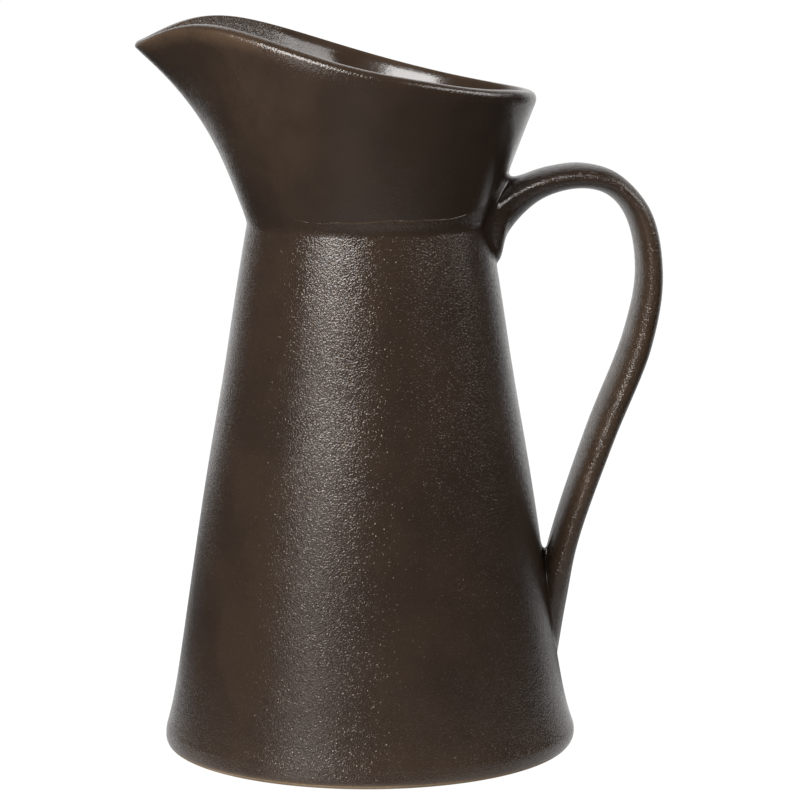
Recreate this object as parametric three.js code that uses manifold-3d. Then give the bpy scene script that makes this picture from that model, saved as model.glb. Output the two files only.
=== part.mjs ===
// A stoneware jug: a conical body, a flared collar drawn out into a pouring lip, and a loop handle.
// Millimetres, +Z up. The origin is the middle of the foot on the table.
// The pouring lip points along -X and the handle stands at +X.
import * as THREE from "three";
import { mergeVertices } from "three/addons/utils/BufferGeometryUtils.js";
import Module from "manifold-3d";

// Base: a flat disc with a rounded edge, carrying the wall
const foot = { restRadius: 78, widestRadius: 80, widestHeight: 4.8 };
const floorThickness = 7;

// Body wall: outline points are [radius, height], from the floor up to the seam groove
const bodyOutside = [
  [79.8, floorThickness],
  [77.1, 17],
  [74.2, 32.5],
  [64.7, 96],
  [56.2, 146],
  [47.25, 201.5],
];
const waist = { height: 206.8, radius: 47.6 };
const wallThickness = 6.2;
const cavityFloorRadius = 70;
const coil = { width: 8, height: 8 };

// Collar: a cone with a thick rolled rim, before the pouring lip is pulled out of it
const collar = { footHeight: 209.5, footRadius: 48.45, edgeHeight: 252.4, edgeRadius: 64.7 };
const rim = {
  rollHeight: 249.3,
  shoulder: [66.3, 254.9],
  crown: [60, 255.3],
  inside: [58.4, 252.2],
};

// Joint at the waist: a V groove filled with slip, which rounds the crease off
const groove = { depth: 2.4, crease: [46.7, 204.8] };

// Pouring lip: where the pull starts and how far out it leans, and how the rim climbs towards it,
// droops at its point and reaches out
const lipPull = { startHeight: 214, slope: 0.413, curl: 3.6 };
const lipClimb = { height: 35.6, steepness: 3.3 };
const lipDroop = { fall: 16.2, halfAngle: 20 };
const lipReach = { length: 26.5, halfAngle: 22, pointAngle: 2.5, sharpness: 1.6, rimRadius: 59.2 };

// Handle: a strap with a lens section. Points [x, z] on its outer and inner faces, and its half width
// there, root to root
const handleStations = [
  { outer: [43, 215.5], inner: [44, 184], halfWidth: 15 },
  { outer: [50.5, 219.3], inner: [50.4, 189.5], halfWidth: 14.6 },
  { outer: [57.3, 222], inner: [54, 200.5], halfWidth: 14.2 },
  { outer: [69.5, 225.9], inner: [66.5, 213.2], halfWidth: 13.8 },
  { outer: [82, 227.3], inner: [82, 217.4], halfWidth: 13.6 },
  { outer: [95.8, 223.8], inner: [92, 214.4], halfWidth: 13.5 },
  { outer: [108.7, 209.7], inner: [99.3, 205.3], halfWidth: 13.5 },
  { outer: [113.8, 185], inner: [102.9, 185], halfWidth: 13.5 },
  { outer: [109.9, 157], inner: [98.5, 161], halfWidth: 13.4 },
  { outer: [95.4, 119.3], inner: [84.6, 124.4], halfWidth: 13 },
  { outer: [81.8, 79.7], inner: [71, 82.5], halfWidth: 12.2 },
  { outer: [77.2, 55.8], inner: [66, 60], halfWidth: 10.6 },
  { outer: [73.6, 33], inner: [65, 37], halfWidth: 8 },
];
const edgeThinning = 0.3;
const slipBands = [[2.4, 1], [1, 2.4]];

// Clearance round a piece that is cut to fit its neighbour
const gap = 0.3;

// Facet counts
const turnSteps = 72;
const wallSteps = 15;
const collarSteps = 8;
const rimSteps = 4;
const filletSteps = 4;
const handleSteps = 36;
const handleSides = 20;

const glaze = { color: 0x3e332c, roughness: 0.38, metalness: 0 };
const bareClay = { color: 0x8c7a61, roughness: 0.92, metalness: 0 };

const wasm = await Module();
wasm.setup();

const degrees = Math.PI / 180;
const point2 = ([x, y]) => new THREE.Vector2(x, y);

// A geometry with positions only and its shared vertices merged
function welded(geometry) {
  geometry.deleteAttribute("normal");
  geometry.deleteAttribute("uv");
  return mergeVertices(geometry, 1e-3);
}

// Turns a closed [radius, height] outline about the Z axis
function turned(outline) {
  const lathe = new THREE.LatheGeometry(outline.map(point2), turnSteps);
  return welded(lathe.rotateX(Math.PI / 2));
}

// Points along a smooth curve through an outline
function smooth(outline, steps) {
  const curve = new THREE.SplineCurve(outline.map(point2));
  return curve.getPoints(steps).map((p) => [p.x, p.y]);
}

// Points from one outline point to another, by way of a control point
function bend(from, control, to, steps) {
  const curve = new THREE.QuadraticBezierCurve(...[from, control, to].map(point2));
  return curve.getPoints(steps).map((p) => [p.x, p.y]);
}

function solidOf(geometry) {
  return new wasm.Manifold(
    new wasm.Mesh({
      numProp: 3,
      vertProperties: new Float32Array(geometry.attributes.position.array),
      triVerts: new Uint32Array(geometry.index.array),
    }),
  );
}

// The largest body of a solid, as a geometry
function geometryOf(solid) {
  const bodies = solid.decompose().sort((a, b) => b.volume() - a.volume());
  const { vertProperties, triVerts } = bodies[0].getMesh();
  return new THREE.BufferGeometry()
    .setAttribute("position", new THREE.BufferAttribute(vertProperties, 3))
    .setIndex(new THREE.BufferAttribute(triVerts, 1));
}

function piece(name, geometry, finish) {
  const mesh = new THREE.Mesh(geometry, new THREE.MeshStandardMaterial(finish));
  mesh.name = name;
  return mesh;
}

const collarSlope = (collar.edgeRadius - collar.footRadius) / (collar.edgeHeight - collar.footHeight);
const collarRadius = (height) => collar.footRadius + collarSlope * (height - collar.footHeight);
const grooveBottom = [waist.radius - groove.depth, waist.height];
const grooveLower = bodyOutside.at(-1);
const grooveUpper = [collar.footRadius, collar.footHeight];
const waistInside = [waist.radius - wallThickness, waist.height];
const bodyOutsideLine = smooth(bodyOutside, wallSteps);
const seamOutside = bend(grooveLower, groove.crease, grooveUpper, filletSteps);
const coilTopHeight = floorThickness + coil.height;
const cavityRise = coil.height / (waist.height - floorThickness);
const coilTop = [THREE.MathUtils.lerp(cavityFloorRadius, waistInside[0], cavityRise), coilTopHeight];

function baseDisc() {
  const widest = [foot.widestRadius, foot.widestHeight];
  const edge = [
    ...bend([foot.restRadius, 0], [foot.widestRadius, 0], widest, filletSteps),
    bodyOutside[0],
  ];
  return turned([[0, 0], ...edge, [0, floorThickness]]);
}

function bodyWall() {
  const inside = [waistInside, coilTop, [cavityFloorRadius, floorThickness]];
  return turned([...bodyOutsideLine, grooveBottom, ...inside, bodyOutside[0]]);
}

function floorCoil() {
  const corner = [cavityFloorRadius, floorThickness];
  const toe = [cavityFloorRadius - coil.width, floorThickness];
  return turned([corner, coilTop, ...bend(coilTop, corner, toe, filletSteps).slice(1), corner]);
}

function neckSeam() {
  return turned([grooveBottom, ...seamOutside, grooveBottom]);
}

// Height gained by the rim at an angle from the lip
function rimClimb(angle) {
  const climb = lipClimb.height * Math.cos(angle / 2) ** lipClimb.steepness;
  return climb - lipDroop.fall / (1 + (angle / (lipDroop.halfAngle * degrees)) ** 2);
}

// How far the rim's crown stands from the axis at an angle from the lip
function rimReach(angle) {
  const blunted = Math.hypot(angle, lipReach.pointAngle * degrees) / (lipReach.halfAngle * degrees);
  return lipReach.rimRadius + lipReach.length / (1 + blunted ** lipReach.sharpness);
}

// Moves a point of the plain collar to where it lies once the lip is pulled
function pullLip(point) {
  const radius = Math.hypot(point.x, point.y);
  const angle = Math.abs(Math.atan2(point.y, -point.x));
  const pullHeight = collar.edgeHeight - lipPull.startHeight;
  const share = THREE.MathUtils.clamp((point.z - lipPull.startHeight) / pullHeight, 0, 1);
  const climb = rimClimb(angle) * share ** 2;
  const rest = rimReach(angle) - rim.crown[0] - lipPull.slope * rimClimb(angle);
  const pulled = radius + lipPull.slope * climb + rest * share ** lipPull.curl;
  point.multiply(new THREE.Vector3(pulled / radius, pulled / radius, 1));
  point.z += climb;
  return point;
}

function neckCollar() {
  const rollStart = [collarRadius(rim.rollHeight), rim.rollHeight];
  const insideCorner = [rim.inside[0], rim.crown[1]];
  const outside = smooth([grooveUpper, rollStart], collarSteps);
  const overRim = [
    ...bend(rollStart, rim.shoulder, rim.crown, rimSteps).slice(1),
    ...bend(rim.crown, insideCorner, rim.inside, rimSteps).slice(1),
  ];
  const inside = smooth([rim.inside, waistInside], collarSteps).slice(1);
  const geometry = turned([grooveBottom, ...outside, ...overRim, ...inside, grooveBottom]);
  const position = geometry.attributes.position;
  const point = new THREE.Vector3();
  for (let i = 0; i < position.count; i++) {
    pullLip(point.fromBufferAttribute(position, i));
    position.setXYZ(i, ...point);
  }
  return geometry;
}

// The outside of body and collar as one filled solid, grown by a margin
function wallEnvelope(margin) {
  const top = collar.edgeHeight;
  const outside = [...bodyOutsideLine, ...seamOutside.slice(1), [collarRadius(top), top]];
  const grown = outside.map(([radius, height]) => [radius + margin, height]);
  return solidOf(turned([[0, floorThickness], ...grown, [0, top]]));
}

// A smooth run of one value through the handle's stations
function handleRun(pick) {
  const points = handleStations.map((station) => new THREE.Vector3(...pick(station)));
  return new THREE.CatmullRomCurve3(points, false, "centripetal");
}
const outerRun = handleRun(({ outer }) => [outer[0], 0, outer[1]]);
const innerRun = handleRun(({ inner }) => [inner[0], 0, inner[1]]);
const widthRun = handleRun(({ halfWidth }) => [halfWidth, 0, 0]);

// The lens section at a share of the handle's run, grown by a margin
function handleSection(share, margin) {
  const outer = outerRun.getPoint(share);
  const inner = innerRun.getPoint(share);
  const middle = outer.clone().add(inner).divideScalar(2);
  const across = outer.clone().sub(middle);
  across.setLength(across.length() + margin);
  const halfWidth = widthRun.getPoint(share).x + margin;
  return Array.from({ length: handleSides }, (_, i) => {
    const turn = (i / handleSides) * 2 * Math.PI;
    const thickness = Math.cos(turn) * (1 - edgeThinning * Math.sin(turn) ** 2);
    const point = middle.clone().addScaledVector(across, thickness);
    point.y = halfWidth * Math.sin(turn);
    return point;
  });
}

// A closed solid through a row of sections
function skinned(sections) {
  const sides = sections[0].length;
  const points = sections.flat();
  const index = [];
  for (let row = 0; row + 1 < sections.length; row++) {
    for (let side = 0; side < sides; side++) {
      const a = row * sides + side;
      const b = row * sides + ((side + 1) % sides);
      index.push(a, a + sides, b, b, a + sides, b + sides);
    }
  }
  const last = (sections.length - 1) * sides;
  for (let side = 1; side + 1 < sides; side++) {
    index.push(0, side, side + 1);
    index.push(last, last + side + 1, last + side);
  }
  const geometry = new THREE.BufferGeometry().setFromPoints(points);
  return geometry.setIndex(index);
}

function handleSolid(margin) {
  const shares = Array.from({ length: handleSteps + 1 }, (_, i) => i / handleSteps);
  return solidOf(skinned(shares.map((share) => handleSection(share, margin))));
}

function handle() {
  return geometryOf(handleSolid(0).subtract(wallEnvelope(gap)));
}

// The slip pressed into the corner between handle and wall: a hollow fillet made of bands,
// each reaching so far from the handle and so far from the wall
function rootSlips() {
  const bands = slipBands.map(([fromHandle, fromWall]) =>
    handleSolid(gap + fromHandle).intersect(wallEnvelope(gap + fromWall)),
  );
  const filled = bands.reduce((all, band) => all.add(band));
  return filled.subtract(wallEnvelope(gap)).subtract(handleSolid(gap));
}

const middleHeight = waist.height / 2;
const [upperSlip, lowerSlip] = rootSlips().splitByPlane([0, 0, 1], middleHeight);

const jug = new THREE.Group();
jug.add(
  piece("base_disc", baseDisc(), bareClay),
  piece("body_wall", bodyWall(), glaze),
  piece("floor_coil", floorCoil(), glaze),
  piece("neck_seam", neckSeam(), glaze),
  piece("neck_collar", neckCollar(), glaze),
  piece("handle", handle(), glaze),
  piece("upper_handle_slip", geometryOf(upperSlip), glaze),
  piece("lower_handle_slip", geometryOf(lowerSlip), glaze),
);

export default jug;
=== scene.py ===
import math

import bpy
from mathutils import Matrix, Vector, noise


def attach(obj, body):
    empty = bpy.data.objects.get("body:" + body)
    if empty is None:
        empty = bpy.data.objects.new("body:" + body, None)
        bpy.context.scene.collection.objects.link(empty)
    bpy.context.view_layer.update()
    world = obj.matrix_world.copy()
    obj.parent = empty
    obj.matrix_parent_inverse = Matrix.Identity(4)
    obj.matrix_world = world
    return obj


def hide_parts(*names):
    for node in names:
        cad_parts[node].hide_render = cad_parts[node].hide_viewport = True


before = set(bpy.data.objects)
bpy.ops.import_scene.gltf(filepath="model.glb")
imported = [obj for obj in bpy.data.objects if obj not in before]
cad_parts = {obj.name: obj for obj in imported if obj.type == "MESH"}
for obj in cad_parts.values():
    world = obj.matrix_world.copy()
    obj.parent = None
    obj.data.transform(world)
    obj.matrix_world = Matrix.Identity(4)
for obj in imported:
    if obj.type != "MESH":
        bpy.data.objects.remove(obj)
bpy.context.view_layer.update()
mm = 0.001
weldGap = 0.004 * mm
smoothAngle = math.radians(40)
print("frame loaded:", ", ".join(sorted(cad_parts)))


def clearSelection():
    bpy.ops.object.select_all(action="DESELECT")


def bezier(points, share):
    while len(points) > 1:
        points = [a + (b - a) * share for a, b in zip(points, points[1:])]
    return points[0]


def fade(value, start, end):
    share = min(1, max(0, (value - start) / (end - start)))
    return share * share * (3 - 2 * share)


def fadeOut(value, start, end):
    return 1 - fade(value, start, end)


def fadeBetween(value, start, full, last, end):
    return fade(value, start, full) * fadeOut(value, last, end)


def spread(start, end, steps):
    return [start + (end - start) * i / steps for i in range(steps + 1)]


def rowHeights(start, *rows):  # each row group: its last height and how many rows it takes
    heights = [start]
    for end, count in rows:
        heights += spread(heights[-1], end, count)[1:]
    return heights


def mergePoints():
    bpy.ops.mesh.select_all(action="SELECT")
    bpy.ops.mesh.remove_doubles(threshold=weldGap)


def closeUp():
    mergePoints()
    bpy.ops.mesh.normals_make_consistent(inside=False)
    bpy.ops.object.mode_set(mode="OBJECT")


# profile points [radius, height] in millimetres, turned round the jug's axis
def turnOnWheel(name, outline, steps):
    clearSelection()
    bpy.ops.mesh.primitive_plane_add(size=mm)
    piece = bpy.context.object
    piece.name = piece.data.name = name
    bpy.ops.object.mode_set(mode="EDIT")
    bpy.ops.mesh.select_all(action="SELECT")
    bpy.ops.mesh.merge(type="CENTER")  # one point to draw the profile from
    radius, height = outline[0]
    bpy.ops.transform.translate(value=(radius * mm, 0, height * mm))
    for (r0, z0), (r1, z1) in zip(outline, outline[1:]):
        move = ((r1 - r0) * mm, 0, (z1 - z0) * mm)
        bpy.ops.mesh.extrude_vertices_move(TRANSFORM_OT_translate={"value": move})
    bpy.ops.mesh.select_all(action="SELECT")
    bpy.ops.mesh.spin(steps=steps, angle=math.tau, center=(0, 0, 0), axis=(0, 0, 1))
    closeUp()
    return piece


# a flat sheet rolled into a tube: place(along, around) says where each of its points goes
def rollTube(name, rings, sides, place):
    clearSelection()
    bpy.ops.mesh.primitive_grid_add(x_subdivisions=rings, y_subdivisions=sides, size=1)
    piece = bpy.context.object
    piece.name = piece.data.name = name
    for vertex in piece.data.vertices:
        vertex.co = place(vertex.co.x + 0.5, vertex.co.y + 0.5) * mm
    bpy.ops.object.mode_set(mode="EDIT")
    mergePoints()
    bpy.ops.mesh.fill_holes(sides=0)
    closeUp()
    return piece


def finishPiece(piece, material, slotName, *nodes):
    clearSelection()
    piece.select_set(True)
    bpy.context.view_layer.objects.active = piece
    bpy.ops.object.shade_smooth_by_angle(angle=smoothAngle)
    piece.data.materials.append(material)
    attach(piece, "root")
    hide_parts(*nodes)
    print("made", piece.name, len(piece.data.polygons), "faces")


# a value per point that the glaze reads: how thin it lies and where a highlight is painted into its colour,
# how strong its orange peel is
def paint(piece, layer, value):
    attribute = piece.data.attributes.new(layer, "FLOAT", "POINT")
    for vertex, cell in zip(piece.data.vertices, attribute.data):
        cell.value = value(vertex.co / mm)


# glaze and clay

glaze = {
    "deep": (0.0213, 0.0137, 0.0095, 1),
    "warm": (0.0271, 0.0172, 0.0116, 1),
    # colour of thin glaze, also used as a painted highlight on the seam and handle
    "thinAndHighlight": (0.105, 0.064, 0.036, 1),
    "speckAndGlint": (0.12, 0.085, 0.06, 1),
    "pinhole": (0.012, 0.008, 0.006, 1),
    "clouds": (34, 3, 0.55),  # scale, detail and roughness of the noise
    "cloudRange": (0.32, 0.68),
    "streaks": (120, 3, 0.6),
    "streakRange": (0.25, 0.62, 0.45, 1),
    "specksAndGlints": (760, 0.16, 0.2),  # scale, size, chance
    "speckAndGlintShare": (0, 1, 0.08, 0.4),
    "pinholes": (62, 0.03, 0.45),
    "pinholeDip": 0.6,  # of the peel's depth
    "ior": 1.52,
    "patches": (90, 2, 0.5),
    "roughness": (0.3, 0.7, 0.14, 0.20),
    "thinRoughness": (0.2, 0.45, 0, 0.16),  # added where the glaze lies thin and where a highlight is painted
    "peel": (1500, 1, 0.5),
    "peelDepth": 0.165 * mm,
    "ripple": (150, 2, 0.5),
    "rippleDepth": 0.08 * mm,
    "crystalScale": 3500,
    "crystalRarity": 2.5,
    "crystalTilt": 0.52,
    "crystalGold": (0.25, 0.6),
    "crystalTint": (1, 0.86, 0.74, 1),
}

clay = {
    "pale": (0.19, 0.138, 0.088, 1),
    "tan": (0.135, 0.092, 0.054, 1),
    "toasted": (0.18, 0.086, 0.042, 1),
    "grog": (0.10, 0.06, 0.04, 1),
    "clouds": (60, 4, 0.6),
    "cloudRange": (0.3, 0.7),
    "toast": (18, 2, 0.5),
    "toastRange": (0.48, 0.68, 0, 0.8),
    "grogDots": (420, 0.25, 0.2),
    "grain": (900, 3, 0.6),
    "wireScale": 95,
    "wireCentre": (0.11, 0.03, 0),
    "wireWander": 1.5,
    "wireShare": 0.6,
    "depth": 0.18 * mm,
    "roughness": 0.9,
    "specular": 0.25,
}


def addNode(tree, kind, **settings):
    node = tree.nodes.new(kind)
    for name, value in settings.items():
        setattr(node, name, value)
    return node


def addNoise(tree, place, scale, detail, rough):
    node = addNode(tree, "ShaderNodeTexNoise")
    tree.links.new(place, node.inputs["Vector"])
    node.inputs["Scale"].default_value = scale
    node.inputs["Detail"].default_value = detail
    node.inputs["Roughness"].default_value = rough
    return node.outputs["Fac"]


def addRange(tree, value, low, high, toLow=0, toHigh=1):
    node = addNode(tree, "ShaderNodeMapRange", interpolation_type="SMOOTHSTEP")
    tree.links.new(value, node.inputs["Value"])
    for name, number in zip(("From Min", "From Max", "To Min", "To Max"), (low, high, toLow, toHigh)):
        node.inputs[name].default_value = number
    return node.outputs["Result"]


def addMath(tree, operation, first, second):
    node = addNode(tree, "ShaderNodeMath", operation=operation)
    for socket, value in zip(node.inputs, (first, second)):
        if isinstance(value, (int, float)):
            socket.default_value = value
        else:
            tree.links.new(value, socket)
    return node.outputs["Value"]


def addMix(tree, share, first, second):
    node = addNode(tree, "ShaderNodeMix", data_type="RGBA")
    tree.links.new(share, node.inputs["Factor"])
    for socket, value in zip((node.inputs[6], node.inputs[7]), (first, second)):
        if isinstance(value, tuple):
            socket.default_value = value
        else:
            tree.links.new(value, socket)
    return node.outputs[2]


def addDots(tree, place, scale, reach, chance):
    node = addNode(tree, "ShaderNodeTexVoronoi")
    tree.links.new(place, node.inputs["Vector"])
    node.inputs["Scale"].default_value = scale
    near = addRange(tree, node.outputs["Distance"], reach, reach * 0.5)
    split = addNode(tree, "ShaderNodeSeparateColor")
    tree.links.new(node.outputs["Color"], split.inputs["Color"])
    kept = addMath(tree, "LESS_THAN", split.outputs["Red"], chance)
    return addMath(tree, "MULTIPLY", near, kept)


def startMaterial(name):
    material = bpy.data.materials.new(name)
    material.use_nodes = True
    tree = material.node_tree
    shader = tree.nodes["Principled BSDF"]
    place = addNode(tree, "ShaderNodeTexCoord").outputs["Object"]
    return material, tree, shader, place


def addBump(tree, shader, height, depth):
    bump = addNode(tree, "ShaderNodeBump")
    bump.inputs["Distance"].default_value = depth
    tree.links.new(height, bump.inputs["Height"])
    tree.links.new(bump.outputs["Normal"], shader.inputs["Normal"])
    return bump


def addVector(tree, operation, first, second, socket=1):
    node = addNode(tree, "ShaderNodeVectorMath", operation=operation)
    tree.links.new(first, node.inputs[0])
    if isinstance(second, tuple):
        node.inputs[socket].default_value = second
    elif second is not None:
        tree.links.new(second, node.inputs[socket])
    return node.outputs["Vector"]


# tiny crystal faces in the glaze, each tipped its own way, a few of them a lot
def addCrystals(tree, shader, place, bump, strength):
    cells = addNode(tree, "ShaderNodeTexVoronoi")
    tree.links.new(place, cells.inputs["Vector"])
    cells.inputs["Scale"].default_value = glaze["crystalScale"]
    split = addNode(tree, "ShaderNodeSeparateColor")
    tree.links.new(cells.outputs["Color"], split.inputs["Color"])
    red, green, blue = (split.outputs[name] for name in ("Red", "Green", "Blue"))
    # green says how rare each one is, so the third direction is mixed from the other two
    third = addMath(tree, "MULTIPLY", addMath(tree, "ADD", red, blue), 7)
    third = addMath(tree, "FRACT", third, 0)
    join = addNode(tree, "ShaderNodeCombineXYZ")
    for socket, value in zip(join.inputs, (red, third, blue)):
        tree.links.new(value, socket)
    lean = addVector(tree, "SUBTRACT", join.outputs["Vector"], (0.5, 0.5, 0.5))
    rare = addMath(tree, "POWER", green, glaze["crystalRarity"])
    amount = addMath(tree, "MULTIPLY", addMath(tree, "MULTIPLY", rare, glaze["crystalTilt"]), strength)
    golden = addMath(tree, "MULTIPLY", addRange(tree, rare, *glaze["crystalGold"]), strength)
    tint = addMix(tree, golden, (1, 1, 1, 1), glaze["crystalTint"])
    tree.links.new(tint, shader.inputs["Specular Tint"])
    tipped = addVector(tree, "SCALE", lean, amount, "Scale")
    normal = addVector(tree, "NORMALIZE", addVector(tree, "ADD", bump.outputs["Normal"], tipped), None)
    tree.links.new(normal, shader.inputs["Normal"])


def makeGlaze():
    material, tree, shader, place = startMaterial("brownGlaze")
    thinAndHighlight = addNode(tree, "ShaderNodeAttribute", attribute_name="thinGlazeAndHighlight").outputs["Fac"]
    peel = addNode(tree, "ShaderNodeAttribute", attribute_name="orangePeel").outputs["Fac"]

    clouds = addRange(tree, addNoise(tree, place, *glaze["clouds"]), *glaze["cloudRange"])
    colour = addMix(tree, clouds, glaze["deep"], glaze["warm"])
    streaks = addNoise(tree, place, *glaze["streaks"])
    breakAndHighlight = addMath(tree, "MULTIPLY", thinAndHighlight, addRange(tree, streaks, *glaze["streakRange"]))
    colour = addMix(tree, breakAndHighlight, colour, glaze["thinAndHighlight"])
    # light dots in the colour: partly specks in the glaze, partly painted glints, more where the peel is
    # strong
    dots = addDots(tree, place, *glaze["specksAndGlints"])
    speckAndGlintDots = addMath(tree, "MULTIPLY", dots, addRange(tree, peel, *glaze["speckAndGlintShare"]))
    colour = addMix(tree, speckAndGlintDots, colour, glaze["speckAndGlint"])
    holes = addDots(tree, place, *glaze["pinholes"])
    colour = addMix(tree, holes, colour, glaze["pinhole"])
    tree.links.new(colour, shader.inputs["Base Color"])

    rough = addRange(tree, addNoise(tree, place, *glaze["patches"]), *glaze["roughness"])
    rough = addMath(tree, "ADD", rough, addRange(tree, thinAndHighlight, *glaze["thinRoughness"]))
    tree.links.new(rough, shader.inputs["Roughness"])
    shader.inputs["IOR"].default_value = glaze["ior"]

    grain = addMath(tree, "MULTIPLY", addNoise(tree, place, *glaze["peel"]), peel)
    waves = addNoise(tree, place, *glaze["ripple"])
    ripple = addMath(tree, "MULTIPLY", waves, glaze["rippleDepth"] / glaze["peelDepth"])
    height = addMath(tree, "ADD", grain, ripple)
    height = addMath(tree, "SUBTRACT", height, addMath(tree, "MULTIPLY", holes, glaze["pinholeDip"]))
    bump = addBump(tree, shader, height, glaze["peelDepth"])
    addCrystals(tree, shader, place, bump, peel)
    return material


def makeClay():
    material, tree, shader, place = startMaterial("bareClay")
    clouds = addRange(tree, addNoise(tree, place, *clay["clouds"]), *clay["cloudRange"])
    colour = addMix(tree, clouds, clay["pale"], clay["tan"])
    toast = addRange(tree, addNoise(tree, place, *clay["toast"]), *clay["toastRange"])
    colour = addMix(tree, toast, colour, clay["toasted"])
    grog = addDots(tree, place, *clay["grogDots"])
    colour = addMix(tree, grog, colour, clay["grog"])
    tree.links.new(colour, shader.inputs["Base Color"])
    shader.inputs["Roughness"].default_value = clay["roughness"]
    shader.inputs["Specular IOR Level"].default_value = clay["specular"]
    # arcs that the cutting wire leaves under the foot
    wire = addNode(tree, "ShaderNodeTexWave", wave_type="RINGS", rings_direction="Z")
    shift = addNode(tree, "ShaderNodeMapping")
    shift.inputs["Location"].default_value = clay["wireCentre"]
    tree.links.new(place, shift.inputs["Vector"])
    tree.links.new(shift.outputs["Vector"], wire.inputs["Vector"])
    wire.inputs["Scale"].default_value = clay["wireScale"]
    wire.inputs["Distortion"].default_value = clay["wireWander"]
    wire.inputs["Detail"].default_value = 2
    lines = addMath(tree, "MULTIPLY", wire.outputs["Fac"], clay["wireShare"])
    height = addMath(tree, "ADD", lines, addNoise(tree, place, *clay["grain"]))
    addBump(tree, shader, height, clay["depth"])
    return material


brownGlaze = makeGlaze()
bareClay = makeClay()
print("finishes ready")


# body wall

wall = {
    "floorHeight": 7,
    "floorRadius": 77.33,
    "topHeight": 203,
    "topRadius": 47,
    "bulge": 1.155,
    "flare": 2.47,
    "flareHeight": 12,
    "hollow": 0.6,
    "hollowHeight": 146,
    "hollowReach": 30,
    "insideFloorRadius": 70,
    "insideTopRadius": 41.4,
    "jointHeight": 206.8,
    "throwingRing": 0.12,
    "throwingPitch": 7.5,
    "throwingZone": (12, 204),
    "skin": 2,
    "flareRight": 0.2,
    "flareBack": 0.2,
    "flareAcross": -0.35,
    "flareSettle": 6,
    "footZone": (71, 76),
    # the glaze is paler towards the foot
    "footPaler": 0.06,
    "footPalerHeights": (6, 20),
    "jointPeel": 0.3,
    "jointPeelHeights": (204, 206.5),
    "rows": [(30, 16), (200, 44)],
    "jointRows": 14,
    "insideRows": 60,
    "steps": 240,
}

collar = {
    "creaseStart": 203.4,
    "creaseEnd": 209.3,
    "lowHeight": 210.6,
    "lowRadius": 48.86,
    "edgeHeight": 252.4,
    "edgeRadius": 64.7,
    "rollStart": 249.3,
    "rollShoulder": [(64.95, 252.6), (64.6, 255.4)],
    "crownHeight": 255.3,
    "crownRadius": 60,
    "insideRound": [(59.2, 255.3), (58.0, 252.6)],
    "insideEdge": (55.6, 246.5),
    "slope": 0.413,
    "pullStart": 214,
    "climb": 35.6,
    "climbSteepness": 3.3,
    "droop": 16.2,
    "droopAngle": 20,
    "reach": 26.5,
    "reachAngle": 22,
    "reachSharpness": 1.6,
    "reachSoftness": 2.5,
    "rimRadius": 59.2,
    "curl": 3.6,
    "nearLift": 2,
    "nearAngles": (75, 115, 145, 180),  # starts, full, full, ends
    "flankSwell": 2.6,
    "flankAngles": (8, 22, 62, 85),
    "flankHeights": (225, 246, 246, 255),
    "halfWall": 3.1,
    "wallBlend": 0.5,
    "lowRows": (216, 18),
    "highRows": 32,
    "rollRows": 18,
    "insideRows": 36,
    "steps": 360,
}


def bodyRadius(height):
    drop = (wall["topHeight"] - height) / (wall["topHeight"] - wall["floorHeight"])
    cone = wall["topRadius"] + (wall["floorRadius"] - wall["topRadius"]) * drop
    belly = 4 * wall["bulge"] * drop * (1 - drop)
    kick = wall["flare"] * math.exp((wall["floorHeight"] - height) / wall["flareHeight"])
    hollow = wall["hollow"] * math.exp(-((height - wall["hollowHeight"]) / wall["hollowReach"]) ** 2)
    return cone + belly + kick - hollow


collarRise = (collar["edgeRadius"] - collar["lowRadius"]) / (collar["edgeHeight"] - collar["lowHeight"])


def collarRadius(height):
    return collar["lowRadius"] + collarRise * (height - collar["lowHeight"])


# the crease between body and collar is a bend with both walls as its tangents
def makeCrease():
    start, end = collar["creaseStart"], collar["creaseEnd"]
    bodySlope = bodyRadius(start + 0.5) - bodyRadius(start - 0.5)
    fromBody = bodyRadius(start) - bodySlope * start
    fromCollar = collarRadius(end) - collarRise * end
    height = (fromBody - fromCollar) / (collarRise - bodySlope)
    radius = collarRadius(height)
    return [Vector((bodyRadius(start), start)), Vector((radius, height)), Vector((collarRadius(end), end))]


crease = makeCrease()


def outsideRadius(height):
    if height <= collar["creaseStart"]:
        return bodyRadius(height)
    if height >= collar["creaseEnd"]:
        return collarRadius(height)
    low, high = 0, 1
    for _ in range(30):
        middle = (low + high) / 2
        low, high = (middle, high) if bezier(crease, middle).y < height else (low, middle)
    return bezier(crease, low).x


# the foot flares most at the right and least in front, which dies away down to the table
def unevenFoot(piece):
    for vertex in piece.data.vertices:
        point = vertex.co / mm
        radius, turn = math.hypot(point.x, point.y), math.atan2(point.y, point.x)
        if radius < wall["footZone"][0]:
            continue
        lean = wall["flareRight"] * math.cos(turn) + wall["flareBack"] * math.sin(turn)
        lean += wall["flareAcross"] * math.sin(turn) ** 2
        below = (wall["floorHeight"] - point.z) / wall["flareHeight"]
        settle = math.exp(below) if below < 0 else 1 + below - wall["flareSettle"] * below ** 2
        kick = wall["flare"] * settle * fade(radius, *wall["footZone"])
        vertex.co.xy *= 1 + kick * lean / radius


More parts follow.
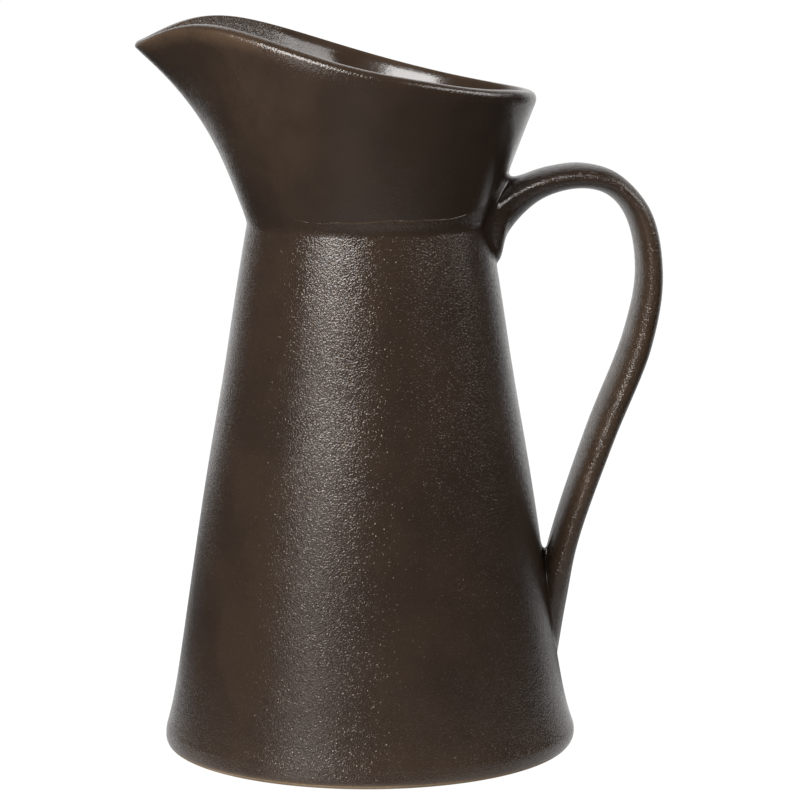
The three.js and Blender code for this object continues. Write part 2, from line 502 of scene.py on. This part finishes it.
def makeBodyWall():
    floor, joint = wall["floorHeight"], wall["jointHeight"]
    outside = [(outsideRadius(z), z) for z in rowHeights(floor, *wall["rows"], (joint, wall["jointRows"]))]
    inside = []
    for share in spread(0, 1, wall["insideRows"]):
        radius = wall["insideTopRadius"] + (wall["insideFloorRadius"] - wall["insideTopRadius"]) * share
        inside.append((radius, joint + (floor - joint) * share))
    piece = turnOnWheel("bodyWall", [*outside, *inside, outside[0]], wall["steps"])
    low, high = wall["throwingZone"]
    for vertex in piece.data.vertices:
        point = vertex.co / mm
        radius = math.hypot(point.x, point.y)
        if radius < outsideRadius(point.z) - wall["skin"] and low < point.z < high:
            turn = math.atan2(point.y, point.x)
            mark = math.sin(math.tau * point.z / wall["throwingPitch"] + turn)  # left by the fingers
            vertex.co.xy *= 1 + wall["throwingRing"] * mark / radius
    unevenFoot(piece)
    calmer = 1 - wall["jointPeel"]
    paint(piece, "thinGlazeAndHighlight", lambda point: wall["footPaler"] * fadeOut(point.z, *wall["footPalerHeights"]))
    paint(piece, "orangePeel", lambda point: 1 - calmer * fade(point.z, *wall["jointPeelHeights"]))
    finishPiece(piece, brownGlaze, "brown_glaze", "body_wall")


makeBodyWall()


# base disc and the coil in the inside corner

foot = {
    "restRadius": 75.9,
    "curve": [(80.6, 0), (80.45, 4.4)],
    "glazeLine": 1.6,
    "lineThin": 0.44,
    "lineReach": 1.2,
    "edgeRows": 32,
    "underRows": 12,
    "insideRows": 20,
}


def makeBaseDisc():
    top = (bodyRadius(wall["floorHeight"]), wall["floorHeight"])
    edge = [Vector(p) for p in ((foot["restRadius"], 0), *foot["curve"], top)]
    curve = [tuple(bezier(edge, share)) for share in spread(0, 1, foot["edgeRows"])]
    under = [(foot["restRadius"] * share, 0) for share in spread(0, 1, foot["underRows"])[:-1]]
    inner = [(top[0] * share, top[1]) for share in spread(1, 0, foot["insideRows"])[1:]]
    piece = turnOnWheel("baseDisc", [*under, *curve, *inner], wall["steps"])
    unevenFoot(piece)
    lineRow = min(curve, key=lambda p: abs(p[1] - foot["glazeLine"]))[1]

    def thinGlaze(point):  # paler at the foot, and thin just above the bare clay
        return wall["footPaler"] + foot["lineThin"] * fadeOut(point.z, lineRow, lineRow + foot["lineReach"])

    paint(piece, "thinGlazeAndHighlight", thinGlaze)
    paint(piece, "orangePeel", lambda point: 1)
    finishPiece(piece, brownGlaze, "bare_clay", "base_disc")
    piece.data.materials.append(bareClay)
    for face in piece.data.polygons:
        face.material_index = 1 if face.center.z < lineRow * mm - weldGap else 0


makeBaseDisc()

coil = {
    "width": 8,
    "height": 8,
    "sunk": 0.8,
    "intoWall": (1, 1.2),  # at its foot, at its back
    "backHeight": 0.6,  # of its height
    "peel": 0.3,
    "rows": 14,
    "steps": 160,
}


def makeFloorCoil():
    floor, corner = wall["floorHeight"], wall["insideFloorRadius"]
    lean = (wall["insideFloorRadius"] - wall["insideTopRadius"]) / (wall["jointHeight"] - floor)
    top = Vector((corner - lean * coil["height"], floor + coil["height"]))
    bend = [top, Vector((corner, floor)), Vector((corner - coil["width"], floor))]
    curve = [tuple(bezier(bend, share)) for share in spread(0, 1, coil["rows"])]
    sunk = floor - coil["sunk"]
    footIn, backIn = coil["intoWall"]
    behind = (corner + backIn, floor + coil["backHeight"] * coil["height"])
    hidden = [(corner - coil["width"], sunk), (corner + footIn, sunk), behind]
    piece = turnOnWheel("floorCoil", [*curve, *hidden, curve[0]], coil["steps"])
    paint(piece, "thinGlazeAndHighlight", lambda point: 0)
    paint(piece, "orangePeel", lambda point: coil["peel"])
    finishPiece(piece, brownGlaze, "brown_glaze", "floor_coil")


makeFloorCoil()


# collar with its pouring lip

collarGlaze = {
    "warm": 0.085,  # paler towards the lip
    "warmAngles": (55, 110),
    "warmHeights": (214, 232),
    "warmRim": 0.5,  # share of that left at the rim
    "warmRimHeights": (240, 249),
    "band": 0.32,  # thinner in a band under the rim
    "bandAngles": (45, 75),
    "bandHeights": (250.2, 252.6, 253.4, 255),
    "crest": 0.2,
    "crestHeights": (254, 255.2),
    "inside": 0.1,
    "wallPeel": (0.35, 0.45, 40, 80),  # peel, what the lip adds, angles where that ends
    "insidePeel": (0.2, 2, 48, 62),
    "rimPeel": 0.8,
    "rimPeelHeights": (247, 251),
}


def rimClimb(angle):
    rise = collar["climb"] * math.cos(angle / 2) ** collar["climbSteepness"]
    return rise - collar["droop"] / (1 + (angle / math.radians(collar["droopAngle"])) ** 2)


def rimReach(angle):
    soft = math.hypot(angle, math.radians(collar["reachSoftness"])) / math.radians(collar["reachAngle"])
    return collar["rimRadius"] + collar["reach"] / (1 + soft ** collar["reachSharpness"])


# the rim stands a little higher on the near side, from the middle to the handle
def nearLift(turn):
    return collar["nearLift"] * fadeBetween(math.degrees(-turn), *collar["nearAngles"])


def pullLip(point):
    radius = math.hypot(point.x, point.y)
    turn = math.atan2(point.y, -point.x)
    angle = abs(turn)
    share = min(1, max(0, (point.z - collar["pullStart"]) / (collar["edgeHeight"] - collar["pullStart"])))
    climb = (rimClimb(angle) + nearLift(turn)) * share ** 2
    rest = rimReach(angle) - collar["crownRadius"] - collar["slope"] * rimClimb(angle)
    pulled = radius + collar["slope"] * climb + rest * share ** collar["curl"]
    return Vector((point.x * pulled / radius, point.y * pulled / radius, point.z + climb))


def fromLip(point):  # degrees
    return math.degrees(abs(math.atan2(point.y, -point.x)))


def outward(point):  # 1 on the outer wall, 0 on the inner one
    middle = min(outsideRadius(point.z) - collar["halfWall"], collar["crownRadius"])
    return fade(math.hypot(point.x, point.y), middle - collar["wallBlend"], middle + collar["wallBlend"])


def fillFlank(point):  # the flanks of the lip are fuller inside
    flank = fadeBetween(fromLip(point), *collar["flankAngles"])
    level = fadeBetween(point.z, *collar["flankHeights"])
    swell = collar["flankSwell"] * flank * level * (1 - outward(point))
    scale = 1 - swell / math.hypot(point.x, point.y)
    return Vector((point.x * scale, point.y * scale, point.z))


def collarThin(point):
    angle, outside = fromLip(point), outward(point)
    warm = collarGlaze["warm"] * fadeOut(angle, *collarGlaze["warmAngles"])
    warm *= fade(point.z, *collarGlaze["warmHeights"])
    warm *= 1 - (1 - collarGlaze["warmRim"]) * fade(point.z, *collarGlaze["warmRimHeights"])
    band = collarGlaze["band"] * fadeOut(angle, *collarGlaze["bandAngles"])
    band *= fadeBetween(point.z, *collarGlaze["bandHeights"])
    crest = collarGlaze["crest"] * fade(point.z, *collarGlaze["crestHeights"])
    return outside * (warm + band) + crest + collarGlaze["inside"] * (1 - outside)


def collarPeel(point):
    sides = []
    for plain, added, start, end in (collarGlaze["insidePeel"], collarGlaze["wallPeel"]):
        sides.append(plain + added * fadeOut(fromLip(point), start, end))
    inner, outer = sides
    outer += (collarGlaze["rimPeel"] - outer) * fade(point.z, *collarGlaze["rimPeelHeights"])
    return inner + (outer - inner) * outward(point)


def makeCollar():
    roll = Vector((outsideRadius(collar["rollStart"]), collar["rollStart"]))
    crown = Vector((collar["crownRadius"], collar["crownHeight"]))
    inner = Vector(collar["insideEdge"])
    joint = wall["jointHeight"]
    heights = rowHeights(joint, collar["lowRows"], (collar["rollStart"], collar["highRows"]))
    outside = [(outsideRadius(z), z) for z in heights]
    rollShares = spread(0, 1, collar["rollRows"])[1:]
    shoulder = [roll, *[Vector(p) for p in collar["rollShoulder"]], crown]
    overOuter = [tuple(bezier(shoulder, share)) for share in rollShares]
    rounding = [crown, *[Vector(p) for p in collar["insideRound"]], inner]
    overInner = [tuple(bezier(rounding, share)) for share in rollShares]
    insideFoot = Vector((wall["insideTopRadius"], joint))
    insideShares = spread(0, 1, collar["insideRows"])[1:]
    inside = [tuple(inner + (insideFoot - inner) * share) for share in insideShares]
    outline = [*outside, *overOuter, *overInner, *inside, outside[0]]
    piece = turnOnWheel("neckCollar", outline, collar["steps"])
    paint(piece, "thinGlazeAndHighlight", collarThin)
    paint(piece, "orangePeel", collarPeel)
    for vertex in piece.data.vertices:
        vertex.co = pullLip(fillFlank(vertex.co / mm)) * mm
    finishPiece(piece, brownGlaze, "brown_glaze", "neck_collar")


makeCollar()


# slip smeared over the joint at the waist

seam = {
    "foot": 204.2,
    "top": 209.3,
    "proud": 0.2,
    "faint": 0.2,  # share of that where it hardly shows
    "wander": 1.6,
    "wanderScale": 3,
    "wanderPlace": 0.7,
    "handleRise": 4.6,
    "handleAngles": (20, 60),
    "shows": (-118, -95, -60, -28),
    "thinAndHighlight": 0.2,
    "highlightBelow": (1.2, 0.5),
    "ridge": (0.92, 2.2),  # how much of a wave it takes, how late that rises
    "footDip": 0.06,
    "topDip": 0.25,
    "depth": 1.4,
    "backStep": 0.4,
    "rows": 16,
}


def seamTop(turn):
    scale = seam["wanderScale"]
    place = Vector((scale * math.cos(turn), scale * math.sin(turn), seam["wanderPlace"]))
    wander = seam["wander"] * noise.noise(place)
    near = fadeOut(math.degrees(abs(turn)), *seam["handleAngles"])
    return seam["top"] + wander + seam["handleRise"] * near


def seamShows(turn):  # the ridge and its painted highlight stand out most in front, towards the handle
    return fadeBetween(math.degrees(turn), *seam["shows"])


def seamHighlight(point):  # painted highlight along the upper edge, partly thin glaze over the ridge
    turn = math.atan2(point.y, point.x)
    start, full = (seamTop(turn) - below for below in seam["highlightBelow"])
    return seam["thinAndHighlight"] * seamShows(turn) * fade(point.z, start, full)


def makeNeckSeam():
    skin = [(outsideRadius(z), z) for z in spread(seam["foot"], seam["top"], seam["rows"])]
    (footRadius, low), (topRadius, top) = skin[0], skin[-1]
    back = [(topRadius - seam["depth"], top - seam["backStep"])]
    back.append((footRadius - seam["depth"], low + seam["backStep"]))
    fullness, sharpness = seam["ridge"]
    piece = turnOnWheel("neckSeam", [*skin, *back, skin[0]], collar["steps"])
    for vertex in piece.data.vertices:
        point = vertex.co / mm
        radius, turn = math.hypot(point.x, point.y), math.atan2(point.y, point.x)
        share = min(1, max(0, (point.z - low) / (top - low)))
        height = low + share * (seamTop(turn) - low)
        depth = outsideRadius(point.z) - radius
        proud = seam["proud"] * (seam["faint"] + (1 - seam["faint"]) * seamShows(turn))
        swell = proud * math.sin(math.pi * (fullness * share) ** sharpness)
        swell -= seam["footDip"] * (1 - share) ** 8
        if share > 0.999:  # the upper edge dips into the collar
            swell = -seam["topDip"]
        reach = outsideRadius(height) - depth + (swell if depth < 0.5 else 0)
        vertex.co = Vector((reach * math.cos(turn), reach * math.sin(turn), height)) * mm
    paint(piece, "thinGlazeAndHighlight", seamHighlight)
    paint(piece, "orangePeel", lambda point: 1)
    finishPiece(piece, brownGlaze, "brown_glaze", "neck_seam")


makeNeckSeam()


# handle, with the slip that is worked into the corners at its two roots

handle = {
    "stations": [  # outer edge x, z, inner edge x, z, half width
        (43, 215.5, 44, 184, 15),
        (50.5, 219.3, 50.4, 189.5, 14.6),
        (57.3, 222, 54, 200.5, 14.2),
        (69.5, 225.9, 66.5, 213.2, 13.8),
        (82, 227.3, 82, 217.4, 13.5),
        (95.8, 223.8, 92, 214.4, 13.3),
        (108.7, 209.7, 99.3, 205.3, 13.2),
        (113.8, 185, 102.9, 185, 13.2),
        (109.9, 157, 98.5, 161, 13.2),
        (95.4, 119.3, 84.6, 124.4, 13),
        (81.8, 79.7, 71, 82.5, 12.2),
        (77.2, 55.8, 66, 60, 10.6),
        (73.6, 33, 65, 37, 8),
    ],
    "fullness": 2.3,  # 2 is an oval strap, more is squarer
    "free": (0.14, 0.3, 0.84, 0.95),  # shares of its length where it is a plain strap
    "twist": 9,
    "twistSteps": [(0.7, 0.32, 0.48), (0.3, 0.6, 0.72)],  # share of the twist, where it comes
    "sideView": 4.4,  # degrees off its edge that it is seen from
    "root": (0.14, 0.33),
    "rootRidge": 0.4,
    "rootLens": 0.25,
    "sides": 72,
    "rings": 150,
    "upperFillet": (0, 0.3, 3.6, 8),  # share in the wall, share clear of it, radius, longest leg
    "lowerFillet": (1, 0.7, 3.4, 17),
    "shortestLeg": 0.8,
    "slipProud": 0.015,
    "slipTuck": (0.7, 0.12),  # into the wall, back towards the corner
    "filletRings": 26,
    "tuckRings": 2,
    "thinAndHighlight": 0.2,
    "highlightOutward": (62, 92),
    "highlightBelow": (200, 222),
    "peel": (1.6, 1.1),  # on the loop, by the neck
    "loopStart": 66,
    "slipPeel": 0.4,
}


def throughPoints(points, share):  # a smooth line, however far apart they are
    last = len(points) - 1
    index = min(int(share * last), last - 1)
    weight = share * last - index
    p1, p2 = points[index], points[index + 1]
    p0 = points[index - 1] if index else p1 * 2 - p2
    p3 = points[index + 2] if index + 2 <= last else p2 * 2 - p1
    d0, d1, d2 = ((b - a).length ** 0.5 for a, b in ((p0, p1), (p1, p2), (p2, p3)))
    t1 = ((p1 - p0) / d0 - (p2 - p0) / (d0 + d1) + (p2 - p1) / d1) * d1
    t2 = ((p2 - p1) / d1 - (p3 - p1) / (d1 + d2) + (p3 - p2) / d2) * d1
    cube = p1 * 2 - p2 * 2 + t1 + t2
    square = p2 * 3 - p1 * 3 - t1 * 2 - t2
    return ((cube * weight + square) * weight + t1) * weight + p1


outerEdge = [Vector((ox, 0, oz)) for ox, oz, ix, iz, half in handle["stations"]]
innerEdge = [Vector((ix, 0, iz)) for ox, oz, ix, iz, half in handle["stations"]]
widthStep = 4
halfWidths = [Vector((station[-1], widthStep * i, 0)) for i, station in enumerate(handle["stations"])]


def handleMiddle(share):
    return (throughPoints(outerEdge, share) + throughPoints(innerEdge, share)) / 2


def handlePoint(share, turn):
    outer, inner = throughPoints(outerEdge, share), throughPoints(innerEdge, share)
    half = (outer - inner).length / 2
    width = throughPoints(halfWidths, share).x
    free = fadeBetween(share, *handle["free"])
    root = fadeOut(share, *handle["root"])
    turned = sum(part * fade(share, start, end) for part, start, end in handle["twistSteps"])
    twist = math.radians(handle["twist"]) * free * turned
    power = 2 + (handle["fullness"] - 2) * free

    # the strap is as thick as keeps its seen edges where they are while it twists
    lean = twist + math.radians(handle["sideView"]) * free
    seen = power / (power - 1)
    half = (half ** seen - (width * math.sin(lean)) ** seen) ** (1 / seen) / math.cos(lean)
    thick = half * math.copysign(abs(math.cos(turn)) ** (2 / power), math.cos(turn))
    thick *= 1 - handle["rootLens"] * root * math.sin(turn) ** 2
    thick += half * handle["rootRidge"] * root * math.sin(turn) ** 2
    wide = width * math.copysign(abs(math.sin(turn)) ** (2 / power), math.sin(turn))
    point = (outer + inner) / 2
    point += (outer - inner).normalized() * (thick * math.cos(twist) - wide * math.sin(twist))
    point.y = thick * math.sin(twist) + wide * math.cos(twist)
    return point


def clearance(point):
    return math.hypot(point.x, point.y) - outsideRadius(point.z)


def wallNormal(point):
    step = 0.2
    rise = outsideRadius(point.z + step) - outsideRadius(point.z - step)
    out = Vector((point.x, point.y, 0)).normalized()
    return (out * 2 * step - Vector((0, 0, rise))).normalized()


def ontoWall(point):
    scale = (outsideRadius(point.z) + handle["slipProud"]) / math.hypot(point.x, point.y)
    return Vector((point.x * scale, point.y * scale, point.z))


# where one line along the handle meets the wall, and the fillet that rounds the corner there
def rootCorner(turn, inWall, outside, radius, longest):
    low, high = inWall, outside
    for _ in range(40):
        middle = (low + high) / 2
        low, high = (middle, high) if clearance(handlePoint(middle, turn)) < 0 else (low, middle)
    meet = handlePoint(high, turn)
    pace = 1e-4 if outside > inWall else -1e-4
    speed = (handlePoint(high + pace, turn) - meet).length / abs(pace)
    along = (handlePoint(high + pace, turn) - meet).normalized()
    normal = wallNormal(meet)
    away = meet - handleMiddle(high)
    away = (away - normal * away.dot(normal)).normalized()
    corner = math.acos(max(-1, min(1, along.dot(away))))
    leg = min(longest, max(handle["shortestLeg"], radius / math.tan(corner / 2)))
    start = high + math.copysign(leg / speed, pace)
    return start, meet, ontoWall(meet + away * leg), normal


turns = [math.tau * i / handle["sides"] for i in range(handle["sides"])]
upperCorners = [rootCorner(turn, *handle["upperFillet"]) for turn in turns]
lowerCorners = [rootCorner(turn, *handle["lowerFillet"]) for turn in turns]


def sideOf(around):
    return round(around * handle["sides"]) % handle["sides"]


def handleHighlight(point):  # paler on the outer, lower loop: partly thin glaze, partly painted highlight
    return handle["thinAndHighlight"] * fade(point.x, *handle["highlightOutward"]) * fadeOut(point.z, *handle["highlightBelow"])


def makeHandle():
    def place(along, around):
        side = sideOf(around)
        start, end = upperCorners[side][0], lowerCorners[side][0]
        return handlePoint(start + (end - start) * along, turns[side])

    piece = rollTube("loopHandle", handle["rings"], handle["sides"], place)
    paint(piece, "thinGlazeAndHighlight", handleHighlight)
    onLoop, byNeck = handle["peel"]
    paint(piece, "orangePeel", lambda point: onLoop if point.x > handle["loopStart"] else byNeck)
    finishPiece(piece, brownGlaze, "brown_glaze", "handle")


def makeRootSlip(name, corners, node):
    rows = handle["filletRings"] + handle["tuckRings"]
    intoWall, towardsCorner = handle["slipTuck"]

    def place(along, around):
        side = sideOf(around)
        start, meet, end, normal = corners[side]
        step = round(along * rows)
        if step > handle["filletRings"]:  # tucked into the wall
            deep = step - handle["filletRings"]
            return end - normal * intoWall * deep + (meet - end) * towardsCorner * deep
        first = handlePoint(start, turns[side])
        line = [first, (first + meet) / 2, meet, (meet + end) / 2, end]
        return bezier(line, step / handle["filletRings"])

    piece = rollTube(name, rows, handle["sides"], place)
    paint(piece, "thinGlazeAndHighlight", handleHighlight)
    paint(piece, "orangePeel", lambda point: handle["slipPeel"])
    finishPiece(piece, brownGlaze, "brown_glaze", node)


makeHandle()
makeRootSlip("upperHandleSlip", upperCorners, "upper_handle_slip")
makeRootSlip("lowerHandleSlip", lowerCorners, "lower_handle_slip")


# studio

studio = {
    "cameraPlace": (0, -1.4, 0.351),
    "cameraAim": (0.0122, 0, 0.135),
    "lens": 164.2,
    "sensor": 36,
    "white": (1, 1, 1, 1),
    "backdrop": 0.95,
    "room": 0.06,
    "backdropCone": (0.60, 0.87),
    "floorSize": 18,
    "floorColour": (0.04, 0.04, 0.04, 1),
    "floorRoughness": 0.9,
    "floorGlow": (0.1, 0.4, 1.1, 0.75),
    "floorLean": (-0.3, 0.25, 1.9, 0.2),
    "paperMiddle": 0.045,
    "paperEdge": (0.13, 0.27),
    "paperWidening": (0.1, 1.1, 1, 2.2),
    "paperOpening": (0.15, 0.45, 0, 0.4),
    "paperGlow": 0.6,
    "paperFront": (-0.08, 0.04),  # it darkens in front of the jug
    "paperByJug": (0.16, 0.28, 1.3, 0),
    "paperLeft": (-0.05, 0.12, 0.25, 0.03),
    "shadowWay": (0.53, 0.85),
    "shadowWidth": (0.01, 0.05, 0.85, 0),
    "shadowStart": (0.08, 0.14),
    "shadowEnd": (0.35, 0.55, 1, 0),
    "sweepStart": (0.5, 1.05),
    "sweepEdge": (0.55, 1.05),
    "lampDistance": 1.4,
    "lampAim": (0, 0, 0.15),
}

softboxes = {
    "leftSoftbox": {"azimuth": -32, "elevation": 35, "width": 0.94, "height": 0.76, "power": 34.5},
    "leftReflector": {"azimuth": -36, "elevation": 2, "width": 0.6, "height": 0.4, "power": 1.8},
    "rightSoftbox": {"azimuth": 78, "elevation": 36, "width": 1.4, "height": 0.42, "power": 11.5},
    "rightKicker": {"azimuth": 96, "elevation": 21, "width": 0.3, "height": 0.4, "power": 1.4},
}


def makeCamera():
    data = bpy.data.cameras.new("photoCamera")
    data.lens, data.sensor_width = studio["lens"], studio["sensor"]
    eye = bpy.data.objects.new("photoCamera", data)
    bpy.context.scene.collection.objects.link(eye)
    eye.location = studio["cameraPlace"]
    aim = Vector(studio["cameraAim"]) - eye.location
    eye.rotation_euler = aim.to_track_quat("-Z", "Y").to_euler()
    bpy.context.scene.camera = eye


def makeSoftbox(name, box):
    azimuth, elevation = math.radians(box["azimuth"]), math.radians(box["elevation"])
    flat = math.cos(elevation)
    way = Vector((math.sin(azimuth) * flat, -math.cos(azimuth) * flat, math.sin(elevation)))
    data = bpy.data.lights.new(name, "AREA")
    data.shape = "RECTANGLE"
    data.size, data.size_y, data.energy = box["width"], box["height"], box["power"]
    lamp = bpy.data.objects.new(name, data)
    bpy.context.scene.collection.objects.link(lamp)
    lamp.location = Vector(studio["lampAim"]) + way * studio["lampDistance"]
    lamp.rotation_euler = (-way).to_track_quat("-Z", "Y").to_euler()
    lamp.visible_camera = False


def makeWorld():
    world = bpy.data.worlds.new("studioRoom")
    bpy.context.scene.world = world
    world.use_nodes = True
    tree = world.node_tree
    split = addNode(tree, "ShaderNodeSeparateXYZ")
    tree.links.new(addNode(tree, "ShaderNodeTexCoord").outputs["Generated"], split.inputs["Vector"])
    behind = addRange(tree, split.outputs["Y"], *studio["backdropCone"], studio["room"], studio["backdrop"])
    room = tree.nodes["Background"]
    tree.links.new(behind, room.inputs["Strength"])
    room.inputs["Color"].default_value = studio["white"]
    white = addNode(tree, "ShaderNodeBackground")
    white.inputs["Color"].default_value = studio["white"]
    mix = addNode(tree, "ShaderNodeMixShader")
    tree.links.new(addNode(tree, "ShaderNodeLightPath").outputs["Is Camera Ray"], mix.inputs["Fac"])
    tree.links.new(room.outputs["Background"], mix.inputs[1])
    tree.links.new(white.outputs["Background"], mix.inputs[2])
    tree.links.new(mix.outputs["Shader"], tree.nodes["World Output"].inputs["Surface"])


# white paper under the jug that widens into a lit sweep behind it, its light painted into its glow; the
# jug's shadow is painted on it
def makeFloor():
    clearSelection()
    bpy.ops.mesh.primitive_plane_add(size=studio["floorSize"])
    floor = bpy.context.object
    floor.name = floor.data.name = "floor"
    material, tree, shader, place = startMaterial("whiteSweep")
    split = addNode(tree, "ShaderNodeSeparateXYZ")
    tree.links.new(place, split.inputs["Vector"])
    x, y = split.outputs["X"], split.outputs["Y"]

    aside = addMath(tree, "SUBTRACT", x, studio["paperMiddle"])
    leftward = addMath(tree, "DIVIDE", aside, addRange(tree, y, *studio["paperWidening"]))
    rightward = addMath(tree, "SUBTRACT", aside, addRange(tree, y, *studio["paperOpening"]))
    aside = addMath(tree, "MAXIMUM", addMath(tree, "MULTIPLY", leftward, -1), rightward)
    paper = addRange(tree, aside, *studio["paperEdge"], studio["paperGlow"], 0)
    away = addNode(tree, "ShaderNodeVectorMath", operation="LENGTH")
    tree.links.new(place, away.inputs[0])
    away = away.outputs["Value"]
    byJug = addRange(tree, away, *studio["paperByJug"])
    front = addMath(tree, "MAXIMUM", addRange(tree, y, *studio["paperFront"]), byJug)
    front = addMath(tree, "MAXIMUM", front, addRange(tree, x, *studio["paperLeft"]))
    paper = addMath(tree, "MULTIPLY", paper, front)

    # the jug's shadow, painted into the floor's glow
    east, north = studio["shadowWay"]
    along = addMath(tree, "ADD", addMath(tree, "MULTIPLY", x, east), addMath(tree, "MULTIPLY", y, north))
    across = addMath(tree, "MULTIPLY", x, north)
    across = addMath(tree, "SUBTRACT", across, addMath(tree, "MULTIPLY", y, east))
    shadow = addRange(tree, addMath(tree, "ABSOLUTE", across, 0), *studio["shadowWidth"])
    shadow = addMath(tree, "MULTIPLY", shadow, addRange(tree, along, *studio["shadowStart"]))
    shadow = addMath(tree, "MULTIPLY", shadow, addRange(tree, along, *studio["shadowEnd"]))
    paper = addMath(tree, "MULTIPLY", paper, addMath(tree, "SUBTRACT", 1, shadow))

    slant = addMath(tree, "DIVIDE", addMath(tree, "ABSOLUTE", x, 0), y)
    fan = addRange(tree, slant, *studio["sweepEdge"], 1, 0)
    sweep = addMath(tree, "MULTIPLY", fan, addRange(tree, y, *studio["sweepStart"], 0, studio["backdrop"]))
    lit = addMath(tree, "MAXIMUM", paper, sweep)

    rays = addNode(tree, "ShaderNodeLightPath")
    glow = addMath(tree, "MULTIPLY", lit, rays.outputs["Is Glossy Ray"])
    glow = addMath(tree, "ADD", glow, rays.outputs["Is Camera Ray"])
    soft = addRange(tree, away, *studio["floorGlow"])
    soft = addMath(tree, "MULTIPLY", soft, addRange(tree, x, *studio["floorLean"]))
    glow = addMath(tree, "ADD", glow, addMath(tree, "MULTIPLY", rays.outputs["Is Diffuse Ray"], soft))
    shader.inputs["Base Color"].default_value = studio["floorColour"]
    shader.inputs["Roughness"].default_value = studio["floorRoughness"]
    shader.inputs["Specular IOR Level"].default_value = 0
    shader.inputs["Emission Color"].default_value = studio["white"]
    tree.links.new(glow, shader.inputs["Emission Strength"])
    floor.data.materials.append(material)


makeCamera()
for boxName, softbox in softboxes.items():
    makeSoftbox(boxName, softbox)
makeWorld()
makeFloor()
bpy.context.scene.view_settings.view_transform = "Standard"
print("studio ready")
